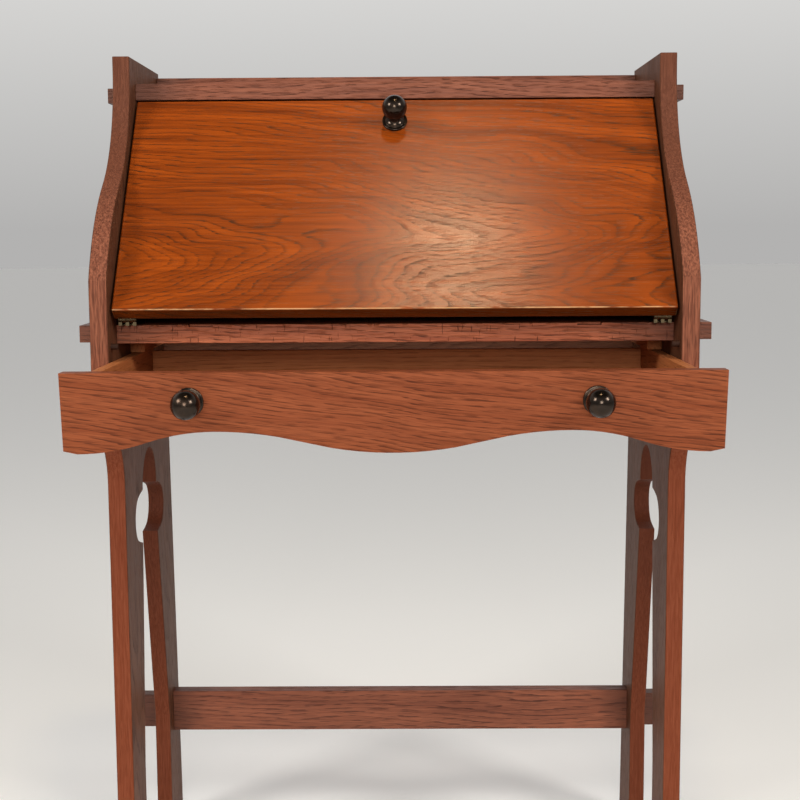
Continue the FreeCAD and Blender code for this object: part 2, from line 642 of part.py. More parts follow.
def hinges():
    """Two small butt hinges: a bed leaf, a lid leaf and a pin at each end of the lid."""
    for hand, sign in HANDS:
        middle = f"{sign} * hinge_centre"
        hole = ("pin_radius + pin_clearance", "(barrel_half * 2)")
        leaf = [box(f"bed_leaf_{hand}_plate",
                    (f"{middle} - barrel_half", "bed_set_back", "bed_height"),
                    (f"{middle} + barrel_half", "bed_set_back + leaf_length", "bed_height + leaf_thickness"))]
        for index, member in enumerate((-2, 0, 2)):
            low_x = f"{middle} + {member} * knuckle_pitch - knuckle_length / 2"
            leaf.append(box(f"bed_leaf_{hand}_finger{index}",
                            (low_x, "axis_depth - web_thickness / 2", "bed_height + finger_lift"),
                            (f"{low_x} + knuckle_length", "bed_set_back + 1", "bed_height + leaf_thickness")))
            leaf.append(box(f"bed_leaf_{hand}_web{index}",
                            (low_x, "axis_depth - web_thickness / 2", "bed_height + finger_lift"),
                            (f"{low_x} + knuckle_length", "axis_depth + web_thickness / 2", "axis_height")))
        leaf += knuckles(f"bed_leaf_{hand}", middle, (-2, 0, 2), "knuckle_radius")
        spots = [spot for spot in bed_screw_spots() if spot[0] == f"{sign} * hinge_centre"]
        tools = [pin(f"bed_leaf_{hand}_pin_hole", middle, *hole)]
        tools += screw_tools(f"bed_leaf_{hand}_hole", spots, "screw_clearance")
        part(f"hinge_{hand}_bed_leaf", cut(f"bed_leaf_{hand}", joined(f"bed_leaf_{hand}_solid", leaf), tools))

        leaf = [lid_box(f"lid_leaf_{hand}_plate", f"{middle} - barrel_half", f"{middle} + barrel_half",
                        ("leaf_margin", "leaf_margin + leaf_length - screw_inset"),
                        "lid_thickness", "lid_thickness + leaf_thickness")]
        for index, member in enumerate((-1, 1)):
            low_x = f"{middle} + {member} * knuckle_pitch - knuckle_length / 2"
            high_x = f"{low_x} + knuckle_length"
            leaf.append(lid_box(f"lid_leaf_{hand}_finger{index}", low_x, high_x,
                                ("axis_along - web_thickness / 2", "leaf_margin + 1"),
                                "lid_thickness + finger_lift", "lid_thickness + leaf_thickness"))
            leaf.append(lid_box(f"lid_leaf_{hand}_web{index}", low_x, high_x,
                                ("axis_along - web_thickness / 2", "axis_along + web_thickness / 2"),
                                "lid_thickness + finger_lift", "axis_in"))
        leaf += knuckles(f"lid_leaf_{hand}", middle, (-1, 1), "knuckle_radius")
        tools = [pin(f"lid_leaf_{hand}_pin_hole", middle, *hole)]
        tools += lid_screws(f"lid_leaf_{hand}_hole", "screw_clearance")
        part(f"hinge_{hand}_lid_leaf", cut(f"lid_leaf_{hand}", joined(f"lid_leaf_{hand}_solid", leaf), tools))

        part(f"hinge_{hand}_pin", pin(f"hinge_{hand}_pin_rod", middle, "pin_radius", "barrel_half"))

    part("hinge_bed_screws", joined("bed_screws", screw_tools("bed_screw", bed_screw_spots(), "0")))
    part("hinge_lid_screws", joined("lid_screws", lid_screws("lid_screw", "0")))


def lid_stops():
    """Two metal pegs in the slabs that the open lid comes down on."""
    for hand, sign in HANDS:
        start = "0 - slab_inner - stop_seat" if sign < 0 else "slab_inner - stop_reach"
        part(f"lid_stop_peg_{hand}",
             rod(f"lid_stop_{hand}", "stop_radius", "stop_seat + stop_reach", start,
                 "stop_depth + shift", STOP_HEIGHT, (0, 1, 0), 90))


def drawer():
    """The long drawer: front with a waved lower edge, box, bottom and knobs."""
    body = doc.addObject("PartDesign::Body", "drawer_front_body")
    profile = sketch_on(body, "drawer_front_profile", "XZ_Plane")
    half = [
        ("front_low_half", "front_end_low"), ("wave_end", "wave_low"), ("wave_outer_mid", "wave_mid"),
        ("wave_crest", "wave_top"), ("wave_inner_mid", "wave_mid"),
    ]
    mirrored = [(f"minus_{across}", up) for across, up in reversed(half)]
    corners = half + mirrored + [("minus_front_half", "front_top"), ("front_half", "front_top")]
    arcs = {
        1: ("wave_outer_radius", False), 2: ("wave_outer_radius", True),
        3: ("wave_inner_radius", True), 4: ("wave_inner_radius", False),
        5: ("wave_inner_radius", True), 6: ("wave_outer_radius", True),
        7: ("wave_outer_radius", False),
    }
    outline(profile, corners, arcs)
    body.Tip = pad(body, profile, "front_thickness")
    place(body, 0, "drawer_shift - front_gap", 0)
    shift = "drawer_shift"
    clear = "fit_gap"
    groove = box("front_groove",
                 (f"0 - drawer_inner - groove_depth - {clear}", f"0 - front_gap - groove_depth - {clear}",
                  f"panel_bottom - {clear}"),
                 (f"drawer_inner + groove_depth + {clear}", "1", f"panel_top + {clear}"), shift)
    tools = [groove]
    for hand, sign in HANDS:
        hole = rod(f"front_bolt_hole_{hand}", "bolt_radius + bolt_clearance", "front_thickness + 2",
                   f"{sign} * knob_spacing / 2", "1 - front_gap + drawer_shift", "knob_height", (1, 0, 0), 90)
        tools.append(hole)
        turned = knob(f"drawer_knob_{hand}_turned")
        place(turned, f"{sign} * knob_spacing / 2", "drawer_shift - front_gap - front_thickness",
              "knob_height", (1, 0, 0), "180")
        part(f"drawer_knob_{hand}", turned)
    part("drawer_front", cut("drawer_front_board", body, tools))

    bolts = []
    for hand, sign in HANDS:
        fixing = bolt(f"drawer_bolt_{hand}", "front_thickness", "0")
        bolts.append(place(fixing, f"{sign} * knob_spacing / 2", "drawer_shift - front_gap",
                           "knob_height", (1, 0, 0), "90"))
    part("drawer_knob_bolts", joined("drawer_bolts", bolts))

    for hand, sign in HANDS:
        low_x, high_x = ("drawer_inner", "drawer_outer")
        if sign < 0:
            low_x, high_x = ("0 - drawer_outer", "0 - drawer_inner")
        side = box(f"drawer_side_{hand}_board", (low_x, "drawer_start", "drawer_side_bottom"),
                   (high_x, "drawer_length", "drawer_side_top"), shift)
        edge = ("drawer_inner - 1", f"drawer_inner + groove_depth + {clear}")
        if sign < 0:
            edge = (f"0 - drawer_inner - groove_depth - {clear}", "1 - drawer_inner")
        groove = box(f"drawer_side_{hand}_groove", (edge[0], "0 - front_gap - 1", f"panel_bottom - {clear}"),
                     (edge[1], "drawer_length + 1", f"panel_top + {clear}"), shift)
        part(f"drawer_side_{hand}", cut(f"drawer_side_{hand}_cut", side, [groove]))

    back_start = "drawer_length - drawer_side_thickness"
    back = box("drawer_back_board", ("0 - drawer_inner", back_start, f"panel_top + {clear}"),
               ("drawer_inner", "drawer_length", "drawer_side_top - drawer_back_drop"), shift)
    part("drawer_back", back)
    bottom = box("drawer_bottom_panel",
                 ("0 - drawer_inner - groove_depth", "0 - front_gap - groove_depth", "panel_bottom"),
                 ("drawer_inner + groove_depth", "drawer_length", "panel_top"), shift)
    part("drawer_bottom", bottom)


def letter_rack():
    """Thin shelf and dividers at the back of the desk, and a little drawer between them."""
    part("rack_shelf", box("rack_shelf_board", ("0 - slab_inner", "rack_front", "rack_shelf_height"),
                           ("slab_inner", "rack_back", "rack_shelf_height + rack_thickness")))
    for hand, sign in HANDS:
        for name, place_x in (("inner", "rack_inner"), ("outer", "rack_outer")):
            low_x, high_x = (place_x, f"{place_x} + rack_thickness")
            if sign < 0:
                low_x, high_x = f"0 - {place_x} - rack_thickness", f"0 - {place_x}"
            part(f"rack_divider_{name}_{hand}",
                 box(f"rack_{name}_{hand}", (low_x, "rack_front", "bed_height"),
                     (high_x, "rack_back", "rack_shelf_height")))
    centre = box("rack_centre_board", ("0 - rack_inner", "rack_front", "rack_centre_shelf"),
                 ("rack_inner", "rack_back", "rack_centre_shelf + rack_thickness"))
    part("rack_centre_shelf", centre)

    front_end = "rack_front + box_front_thickness"
    front = box("box_front_board", ("0 - box_half", "rack_front", "box_low"),
                ("box_half", front_end, "box_high"))
    part("box_drawer_front", front)
    for hand, sign in HANDS:
        low_x, high_x = ("box_half - box_side_thickness", "box_half")
        if sign < 0:
            low_x, high_x = "0 - box_half", "box_side_thickness - box_half"
        side = box(f"box_side_{hand}", (low_x, front_end, "box_low"),
                   (high_x, "box_back", "box_high - box_side_drop"))
        part(f"box_drawer_side_{hand}", side)
    back_start = "box_back - box_side_thickness"
    back = box("box_back_board", ("box_side_thickness - box_half", back_start, "box_low"),
               ("box_half - box_side_thickness", "box_back", "box_high - box_side_drop"))
    part("box_drawer_back", back)
    bottom = box("box_bottom_panel", ("box_side_thickness - box_half", front_end, "box_low"),
                 ("box_half - box_side_thickness", back_start, "box_low + box_bottom_thickness"))
    part("box_drawer_bottom", bottom)
    stem = rod("box_knob_stem", "box_knob_neck", "box_knob_length", 0, "rack_front + shift",
               "(box_low + box_high) / 2", (1, 0, 0), 90)
    head = doc.addObject("Part::Sphere", "box_knob_head")
    head.setExpression("Radius", bound("box_knob_radius"))
    place(head, 0, "rack_front - box_knob_length + shift", "(box_low + box_high) / 2")
    part("box_drawer_knob", joined("box_knob", [stem, head]))


sides()
case_boards()
runners()
lid()
hinges()
lid_stops()
drawer()
letter_rack()
doc.recompute()

broken = [item.Name for item in doc.Objects if {"Invalid", "Error"} & set(item.State)]
if broken:
    raise RuntimeError("objects that failed: " + ", ".join(broken))
for item in parts:
    if item.Shape.isNull() or not item.Shape.isValid():
        raise RuntimeError(item.Label + " has no valid shape")

os.makedirs("parts", exist_ok=True)
for item in parts:
    item.Shape.exportStep(f"parts/{item.Label}.step")
    size = item.Shape.BoundBox
    print(f"{item.Label:26s} {len(item.Shape.Solids)} solid(s) "
          f"x {size.XMin:8.1f} {size.XMax:8.1f}  y {size.YMin:8.1f} {size.YMax:8.1f}  "
          f"z {size.ZMin:8.1f} {size.ZMax:8.1f}")
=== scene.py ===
"""A drop-front writing desk in stained oak, with its lid shut and its drawer pulled out."""
import json
import math
import random

import bmesh
import bpy
from mathutils import Matrix, Vector


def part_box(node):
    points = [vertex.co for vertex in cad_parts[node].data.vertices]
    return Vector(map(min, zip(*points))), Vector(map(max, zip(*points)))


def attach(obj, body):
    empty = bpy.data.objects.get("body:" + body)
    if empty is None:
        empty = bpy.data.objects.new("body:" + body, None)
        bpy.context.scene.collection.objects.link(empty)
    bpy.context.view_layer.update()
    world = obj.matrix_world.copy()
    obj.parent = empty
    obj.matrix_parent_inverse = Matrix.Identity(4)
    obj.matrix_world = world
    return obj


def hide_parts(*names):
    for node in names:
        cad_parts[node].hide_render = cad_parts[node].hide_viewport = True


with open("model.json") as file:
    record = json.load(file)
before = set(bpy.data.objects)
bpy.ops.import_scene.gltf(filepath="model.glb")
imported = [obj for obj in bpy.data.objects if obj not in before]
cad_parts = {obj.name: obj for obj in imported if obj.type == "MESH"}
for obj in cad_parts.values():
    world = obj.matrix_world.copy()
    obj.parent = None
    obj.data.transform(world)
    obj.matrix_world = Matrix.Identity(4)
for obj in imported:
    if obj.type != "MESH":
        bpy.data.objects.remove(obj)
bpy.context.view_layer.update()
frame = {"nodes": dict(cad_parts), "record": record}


# ------------------------------------------------------------------ slab sides
# Two oak boards on edge, sawn to a belly and a throat in front and pierced by a
# cut-out that leaves two legs. The grain runs up them; their edges are rough
# from the saw and have taken the stain unevenly.
def wire(tree, kind, feeds=None, **settings):
    """A shader node with its settings, its inputs given as values or as other outputs."""
    made = tree.nodes.new("ShaderNode" + kind)
    for key, value in settings.items():
        setattr(made, key, value)
    for key, value in (feeds or {}).items():
        if isinstance(value, bpy.types.NodeSocket):
            tree.links.new(value, made.inputs[key])
        else:
            made.inputs[key].default_value = value
    return made


def sums(tree, operation, first, second=0.0, third=0.0):
    """One step of arithmetic."""
    return wire(tree, "Math", {0: first, 1: second, 2: third}, operation=operation).outputs[0]


def blend(tree, share, first, second):
    """Two colours mixed by a share."""
    mix = wire(tree, "Mix", {0: share, 6: first, 7: second}, data_type="RGBA")
    return mix.outputs[2]


def ramped(tree, value, low, high, start=0.0, end=1.0):
    """A value stretched from one span to another and held at its ends."""
    feeds = {0: value, 1: low, 2: high, 3: start, 4: end}
    return wire(tree, "MapRange", feeds).outputs[0]


def grained(tree, place, along, across, detail=2.0, roughness=0.5):
    """Noise drawn out along the grain: waves per metre along it and across it."""
    stretch = wire(tree, "VectorMath", {0: place, 1: (along, across, across)},
                   operation="MULTIPLY")
    feeds = {"Vector": stretch.outputs[0], "Scale": 1.0, "Detail": detail,
             "Roughness": roughness}
    return wire(tree, "TexNoise", feeds).outputs["Fac"]


class Wood:
    """One oak in the making: shader outputs for wear and painted shade, then the varnish."""


def oak(name, turn, centre, tones, depth=0.09, heart=0.0, tilt=0.1, ring=0.0045, wander=0.03,
        line=0.5, pore=0.6, dash=(55.0, 620.0), gloss=0.4, cloud=0.4):
    """The figure of a stained oak board, ready for wear and painted shade, then for varnish().

    turn and centre bring the grain to X, the face to Z and its middle to the origin. tones
    are the light, the dark and the deepest stain. The heart of the tree lies depth behind
    the face and heart to one side, tilted along the grain, so that the rings, each ring wide
    and straying up to wander, cut the face as arches or as lines. line and pore say how dark
    the early wood and its pores are, dash the pores' waves per metre along and across, gloss
    how rough the varnish is, and cloud the share of broad bands against fine streaks.
    """
    light, dark, deep = [(*tone, 1.0) for tone in tones]
    material = bpy.data.materials.new(name)
    material.use_nodes = True
    tree = material.node_tree
    source = wire(tree, "TexCoord")
    place = wire(tree, "Mapping", {
        "Vector": source.outputs["Object"], "Rotation": turn, "Location": centre,
    }).outputs[0]
    along, across, behind = wire(tree, "SeparateXYZ", {0: place}).outputs

    # How far a point lies from the heart of the tree, with the bends of the trunk.
    bend = grained(tree, place, 2.6, 9.0)
    sway = grained(tree, place, 5.0, 24.0, detail=1.0)
    back = sums(tree, "MULTIPLY_ADD", along, tilt, depth)
    back = sums(tree, "ADD", back, behind)
    back = sums(tree, "ADD", back, sums(tree, "MULTIPLY_ADD", bend, wander * 2, -wander))
    side = sums(tree, "MULTIPLY_ADD", sway, wander * 0.4, across)
    side = sums(tree, "ADD", side, heart)
    radius = sums(tree, "SQRT", sums(tree, "ADD", sums(tree, "MULTIPLY", back, back),
                                     sums(tree, "MULTIPLY", side, side)))

    # How far through its year's growth the point is, 0 to 1; the rings are ragged lines.
    fine_jag = sums(tree, "MULTIPLY", grained(tree, place, 9.0, 420.0, detail=1.0), 0.5)
    short_jag = sums(tree, "MULTIPLY", grained(tree, place, 16.0, 60.0, detail=1.0), 0.5)
    jag = sums(tree, "MULTIPLY_ADD", grained(tree, place, 1.5, 8.0, detail=1.0), 4.0,
               sums(tree, "ADD", fine_jag, short_jag))
    year = sums(tree, "FRACT", sums(tree, "MULTIPLY_ADD", radius, 1.0 / ring, jag))

    # The early wood is the first third of the year, strong in some patches and faint in others.
    patches = ramped(tree, grained(tree, place, 4.0, 22.0, detail=1.0), 0.3, 0.62, 0.35)
    early = sums(tree, "MULTIPLY", ramped(tree, year, 0.0, 0.05),
                 ramped(tree, year, 0.09, 0.30, 1.0, 0.0))
    early = sums(tree, "MULTIPLY", early, patches)

    # Pores are short dashes, packed in the early wood and thinning out through the year.
    dashes = ramped(tree, grained(tree, place, *dash, detail=1.0), 0.46, 0.6)
    pores = sums(tree, "MULTIPLY", early, sums(tree, "MULTIPLY_ADD", dashes, 0.55, 0.45))
    ticks = sums(tree, "MULTIPLY", dashes, ramped(tree, year, 0.9, 0.3))
    ticks = sums(tree, "MULTIPLY", ticks, pore)
    hairs = ramped(tree, grained(tree, place, 26.0, 1500.0), 0.42, 0.72)

    # Groups of slow and fast years take the stain as broad bands that follow the rings.
    stain = ramped(tree, grained(tree, place, 3.0, 12.0, detail=3.0, roughness=0.6), 0.3, 0.7)
    streak = grained(tree, place, 5.0, 230.0, detail=3.0, roughness=0.6)
    years = sums(tree, "MULTIPLY", radius, 0.33 / ring)
    bands = wire(tree, "TexNoise", {"W": years, "Scale": 1.0, "Detail": 2.0},
                 noise_dimensions="1D").outputs["Fac"]
    bands = ramped(tree, sums(tree, "MULTIPLY_ADD", stain, 0.3, bands), 0.42, 0.85)
    shade = sums(tree, "MULTIPLY", ramped(tree, streak, 0.3, 0.7), 1.0 - cloud)
    shade = sums(tree, "MULTIPLY_ADD", bands, cloud, shade)
    colour = blend(tree, shade, light, dark)
    for marks, strength in ((hairs, 0.3 * pore), (ticks, 0.45), (pores, line)):
        colour = blend(tree, sums(tree, "MULTIPLY", marks, strength), colour, deep)

    # Open pores are hollow and dull; the streaks stand up a little between them.
    hollows = sums(tree, "MULTIPLY", sums(tree, "MAXIMUM", early, ticks), dashes)
    height = sums(tree, "MULTIPLY_ADD", hollows, -1.0, sums(tree, "MULTIPLY", streak, 0.3))
    rough = sums(tree, "MULTIPLY_ADD", hollows, 0.15,
                 sums(tree, "MULTIPLY_ADD", stain, 0.06, gloss - 0.03))
    wood = Wood()
    wood.material, wood.tree = material, tree
    wood.place, wood.along, wood.across = place, along, across
    wood.normal = source.outputs["Normal"]
    wood.dashes, wood.stain, wood.deep = dashes, stain, deep
    wood.colour, wood.height, wood.rough = colour, height, rough
    return wood


def varnish(wood, shine=0.2, relief=0.5):
    """Closes an oak with its last coat: shine is the coat's, relief how far the grain shows."""
    tree = wood.tree
    shader = tree.nodes["Principled BSDF"]
    bump = wire(tree, "Bump", {"Strength": relief, "Distance": 0.0005, "Height": wood.height})
    tree.links.new(wood.colour, shader.inputs["Base Color"])
    tree.links.new(wood.rough, shader.inputs["Roughness"])
    tree.links.new(bump.outputs[0], shader.inputs["Normal"])
    shader.inputs["Specular IOR Level"].default_value = shine
    return wood.material


def sawn_edges(wood, bright, dull, under_bed, at_top):
    """Edges left from the saw: brighter than the faces, mottled, and rough to the touch.

    The faces keep a darker tone, partly their stain and partly painted shade. The edges'
    stain is redder from the writing bed down, and the edges are darker towards the top
    board. Each pair of heights above the floor says where a change begins and where it is
    complete.
    """
    red_heights, dark_heights = (0.72, 0.60), (0.84, 0.95)
    cut_out_heights, inside_shade_heights, front_depths = (0.62, 0.60), (0.20, 0.50), (0.06, 0.09)
    tree, height_up, back = wood.tree, wood.along, wood.across
    sideways = wire(tree, "SeparateXYZ", {0: wood.normal}).outputs[0]
    # The faces, told by their normals, keep the darker tone: partly stain, partly painted shade.
    sawn = ramped(tree, sums(tree, "ABSOLUTE", sideways), 0.3, 0.7, 1.0, 0.0)
    mottle = grained(tree, wood.place, 14.0, 420.0, detail=3.0, roughness=0.7)
    stained = blend(tree, ramped(tree, mottle, 0.40, 0.60), (*bright, 1.0), (*dull, 1.0))
    stained = blend(tree, sums(tree, "MULTIPLY", wood.dashes, 0.35), stained, wood.deep)
    stained = blend(tree, ramped(tree, height_up, *red_heights, 0.0, 0.7), stained,
                    (*under_bed, 1.0))
    stained = blend(tree, ramped(tree, height_up, *dark_heights, 0.0, 0.75), stained,
                    (*at_top, 1.0))
    # Inside the cut-out, below the drawer and back from the front, the edges are darkened as
    # painted shade, most just under the drawer.
    inside = sums(tree, "MULTIPLY", ramped(tree, height_up, *cut_out_heights),
                  ramped(tree, back, *front_depths))
    inside = sums(tree, "MULTIPLY", inside,
                  ramped(tree, height_up, *inside_shade_heights, 0.25, 0.6))
    stained = blend(tree, inside, stained, wood.deep)
    wood.colour = blend(tree, sawn, wood.colour, stained)
    wood.height = sums(tree, "MULTIPLY_ADD", sums(tree, "MULTIPLY", mottle, sawn), 1.2,
                       wood.height)
    wood.rough = sums(tree, "MULTIPLY_ADD", sawn, 0.1, wood.rough)


UPRIGHT = (0.0, math.radians(90), 0.0)
slab_tones = ((0.150, 0.058, 0.028), (0.082, 0.030, 0.015), (0.022, 0.008, 0.005))
slab_wood = oak("slab_oak", UPRIGHT, (0.0, 0.10, 0.02), slab_tones, depth=0.30, tilt=0.05,
                ring=0.006, gloss=0.5)
sawn_edges(slab_wood, bright=(0.27, 0.094, 0.052), dull=(0.15, 0.047, 0.026),
           under_bed=(0.17, 0.034, 0.010), at_top=(0.095, 0.031, 0.016))
slab_oak = varnish(slab_wood, shine=0.1, relief=0.8)
nodes = frame["nodes"]


def finish_node(name, material):
    """Gives a CAD node its finish, in every one of its slots."""
    for slot in nodes[name].material_slots:
        slot.material = material


for hand in ("left", "right"):
    finish_node(f"side_slab_{hand}", slab_oak)


# ---------------------------------------------------------- boards and carcase
# The writing bed, top board and stretcher run between the slabs and stand out
# through them as tenons. Their edges were eased with a plane and have since been
# knocked and rubbed.
body_of = {
    node: body
    for body, members in frame["record"]["behaviour"]["bodies"].items()
    for node in members
}
slot_of = {part["node"]: part["material_slot"] for part in frame["record"]["subparts"]}


def made_piece(name, bm, material):
    """An object made of a finished shape and its material."""
    mesh = bpy.data.meshes.new(name)
    bm.to_mesh(mesh)
    bm.free()
    mesh.materials.append(material)
    piece = bpy.data.objects.new(name, mesh)
    bpy.context.scene.collection.objects.link(piece)
    return piece


def stand_for(name, piece):
    """Puts a piece in the place of a CAD node, on its body."""
    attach(piece, body_of[name])
    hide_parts(name)


def knocked(bm, dents, width):
    """Dents along the front top arris, each given as its middle, half length and depth."""
    clear_of_arris, crossings = 0.003, (-1.0, -0.3, 0.4, 1.0)
    dented_share, push_back = 0.9, 0.8
    front, top = min(vert.co.y for vert in bm.verts), max(vert.co.z for vert in bm.verts)
    cuts = [((0.0, 0.0, top - clear_of_arris), (0.0, 0.0, 1.0)),
            ((0.0, front + clear_of_arris, 0.0), (0.0, 1.0, 0.0))]
    cuts += [((middle + half * crossing, 0.0, 0.0), (1.0, 0.0, 0.0))
             for middle, half, _ in dents for crossing in crossings]
    for point, normal in cuts:
        bmesh.ops.bisect_plane(bm, geom=bm.verts[:] + bm.edges[:] + bm.faces[:],
                               dist=0.000001, plane_co=point, plane_no=normal)
    rounding = width * 1.1
    for middle, half, depth in dents:
        for vert in bm.verts:
            x, y, z = vert.co
            on_arris = y < front + rounding and z > top - rounding
            if on_arris and abs(x - middle) < half * dented_share:
                vert.co = (x, y + depth * push_back, z - depth)


def eased(name, material, width=0.0012, shortest=0.008, dents=()):
    """A board whose arrises longer than shortest are rounded; it stands for its CAD node."""
    welded, flat, corner = 0.00001, math.radians(2), math.radians(35)
    bm = bmesh.new()
    bm.from_mesh(nodes[name].data)
    bmesh.ops.remove_doubles(bm, verts=bm.verts, dist=welded)
    bmesh.ops.dissolve_limit(bm, angle_limit=flat, verts=bm.verts, edges=bm.edges)
    sharp = [
        edge for edge in bm.edges
        if edge.is_manifold and edge.calc_length() > shortest
        and edge.is_convex and edge.calc_face_angle() > corner
    ]
    bmesh.ops.bevel(bm, geom=sharp, offset=width, affect="EDGES", segments=3,
                    profile=0.5, material=-1, clamp_overlap=True)
    if dents:
        knocked(bm, dents, width)
    stand_for(name, made_piece(f"{name}_eased", bm, material))


def shaded_ends(wood, start, end, end_shade=(0.085, 0.035, 0.024)):
    """Both ends of a board painted dark: painted shade beside and through the slabs."""
    tree = wood.tree
    from_middle = sums(tree, "ABSOLUTE", wood.along)
    # Painted shade, deepening towards each end; the stain's noise breaks its edge.
    end_shade_share = ramped(tree, sums(tree, "MULTIPLY_ADD", wood.stain, 0.05, from_middle), start, end)
    wood.colour = blend(tree, sums(tree, "MULTIPLY", end_shade_share, 0.8), wood.colour, (*end_shade, 1.0))


def darker_behind(wood, start, end, share):
    """Painted light: the front edge keeps the light tone, and the wood darkens away from it."""
    behind = ramped(wood.tree, wood.across, start, end, 0.0, share)
    wood.colour = blend(wood.tree, behind, wood.colour, wood.deep)


def scratched(wood, share):
    """Short scratches across the grain, dark with old grime."""
    tree = wood.tree
    scratch = ramped(tree, grained(tree, wood.place, 620.0, 70.0, roughness=0.6), 0.66, 0.72)
    wood.colour = blend(tree, sums(tree, "MULTIPLY", scratch, share), wood.colour, wood.deep)
    wood.height = sums(tree, "MULTIPLY_ADD", scratch, -1.5, wood.height)


LEVEL = (0.0, 0.0, 0.0)
# The bed's light tone is raised as painted light for its front edge, which sits in the lid's
# shade.
bed_tones = ((0.64, 0.200, 0.090), (0.30, 0.070, 0.030), (0.050, 0.015, 0.010))
bed_wood = oak("bed_oak", LEVEL, (0.0, 0.05, -0.70), bed_tones, depth=0.12, tilt=0.03,
               ring=0.005, line=0.8, pore=1.0, gloss=0.45)
shaded_ends(bed_wood, start=0.25, end=0.36)
darker_behind(bed_wood, start=0.0, end=0.10, share=0.5)
scratched(bed_wood, share=0.7)
random.seed(11)
bed_dents = [
    (random.uniform(-0.30, 0.30), random.uniform(0.001, 0.005), random.uniform(0.0004, 0.0013))
    for _ in range(24)
]
eased("writing_bed", varnish(bed_wood, relief=0.9), dents=bed_dents)

case_tones = ((0.30, 0.098, 0.050), (0.17, 0.050, 0.026), (0.045, 0.014, 0.009))
case_wood = oak("case_oak", LEVEL, (0.0, 0.05, -0.60), case_tones, depth=0.12, tilt=0.03,
                ring=0.005, line=0.7, pore=1.0, gloss=0.45)
shaded_ends(case_wood, start=0.29, end=0.36)
case_oak = varnish(case_wood, relief=0.8)
for name in ("top_board", "rear_stretcher", "gallery_rail", "lid_stop_rail"):
    eased(name, case_oak)

panel_tones = ((0.24, 0.10, 0.055), (0.15, 0.058, 0.032), (0.045, 0.016, 0.010))
panel_oak = varnish(oak("panel_oak", (math.radians(90), 0.0, 0.0), (0.0, 0.9, 0.0),
                        panel_tones, depth=0.16, tilt=0.12, ring=0.006, gloss=0.6))
for name in ("back_panel", "bay_back_rail"):
    eased(name, panel_oak)

inner_tones = ((0.52, 0.185, 0.062), (0.33, 0.100, 0.030), (0.12, 0.034, 0.011))
inner_wood = varnish(oak("inner_wood", (0.0, 0.0, math.radians(-90)), (0.0, 0.0, -0.66),
                         inner_tones, depth=0.14, tilt=0.05, ring=0.005, pore=0.5, gloss=0.6))
for part in ("runner", "kicker"):
    for hand in ("left", "right"):
        eased(f"drawer_{part}_{hand}", inner_wood)


# ------------------------------------------------------------------------- lid
# One wide flat-sawn board, rubbed and varnished more brightly than the rest. Its
# lower arris is worn pale. It turns on two small hinges let into the bed's front.
lid_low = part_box("lid_board")[0]
slope = math.radians(52.2)
foot_rise = 0.011  # from the board's lowest corner up to the corner of its face
foot = Vector((0.0, lid_low.y, lid_low.z + foot_rise))
foot_along = foot.y * math.cos(slope) + foot.z * math.sin(slope)
foot_out = foot.z * math.cos(slope) - foot.y * math.sin(slope)
foot_line = -0.09  # where the foot lies across the board's figure


def rubbed_foot(wood, start, end, pale):
    """The arris at the foot, between start and end up the face, rubbed to pale wood."""
    tree = wood.tree
    band = sums(tree, "MULTIPLY", ramped(tree, wood.across, start, start + 0.0004),
                ramped(tree, wood.across, end, end + 0.0006, 1.0, 0.0))
    stretches = grained(tree, wood.place, 24.0, 60.0, detail=3.0, roughness=0.7)
    rubbed = sums(tree, "MULTIPLY", band, ramped(tree, stretches, 0.36, 0.56))
    wood.colour = blend(tree, rubbed, wood.colour, (*pale, 1.0))
    # The edge under it, turned down to the bed, is painted dark as painted shade.
    down = wire(tree, "SeparateXYZ", {0: wood.normal}).outputs[2]
    under = ramped(tree, down, -0.65, -0.75, 0.0, 0.6)
    wood.colour = blend(tree, under, wood.colour, wood.deep)


lid_tones = ((0.38, 0.070, 0.0055), (0.125, 0.020, 0.0020), (0.034, 0.010, 0.002))
lid_wood = oak("lid_oak", (-slope, 0.0, 0.0), (0.0, foot_line - foot_along, -foot_out), lid_tones,
               depth=0.12, tilt=0.2, ring=0.0056, wander=0.06, line=0.95, pore=0.6, gloss=0.24,
               cloud=0.45)
rubbed_foot(lid_wood, start=foot_line + 0.0001, end=foot_line + 0.0010, pale=(0.62, 0.36, 0.17))
eased("lid_board", varnish(lid_wood, shine=0.32, relief=0.10), width=0.0016)


# ----------------------------------------------------------------------- knobs
# Turned ball knobs on a base disc, cast in bronze and gone nearly black, bright
# where hands and light catch them. A steel bolt from behind holds each one.
def metal(name, colour, worn, rough, metallic=1.0):
    """Old metal: two tones clouded into each other, with fine pitting."""
    clouds_per_metre, pits_per_metre = 60.0, 840.0
    material = bpy.data.materials.new(name)
    material.use_nodes = True
    tree = material.node_tree
    shader = tree.nodes["Principled BSDF"]
    place = wire(tree, "TexCoord").outputs["Object"]
    cloud = wire(tree, "TexNoise", {"Vector": place, "Scale": clouds_per_metre, "Detail": 5.0,
                                    "Roughness": 0.65})
    pits = wire(tree, "TexNoise", {"Vector": place, "Scale": pits_per_metre, "Detail": 2.0})
    share = ramped(tree, cloud.outputs["Fac"], 0.42, 0.68)
    bump = wire(tree, "Bump", {"Strength": 0.15, "Distance": 0.0002,
                               "Height": pits.outputs["Fac"]})
    tree.links.new(blend(tree, share, (*colour, 1.0), (*worn, 1.0)), shader.inputs["Base Color"])
    tree.links.new(sums(tree, "MULTIPLY_ADD", share, 0.15, rough), shader.inputs["Roughness"])
    tree.links.new(bump.outputs[0], shader.inputs["Normal"])
    shader.inputs["Metallic"].default_value = metallic
    return material


def arc(middle, height, radius, start, end, steps):
    """Points of a circle in the profile's plane, from one angle to another in degrees."""
    angles = [math.radians(start + (end - start) * step / steps) for step in range(steps + 1)]
    return [(middle + radius * math.cos(angle), height + radius * math.sin(angle))
            for angle in angles]


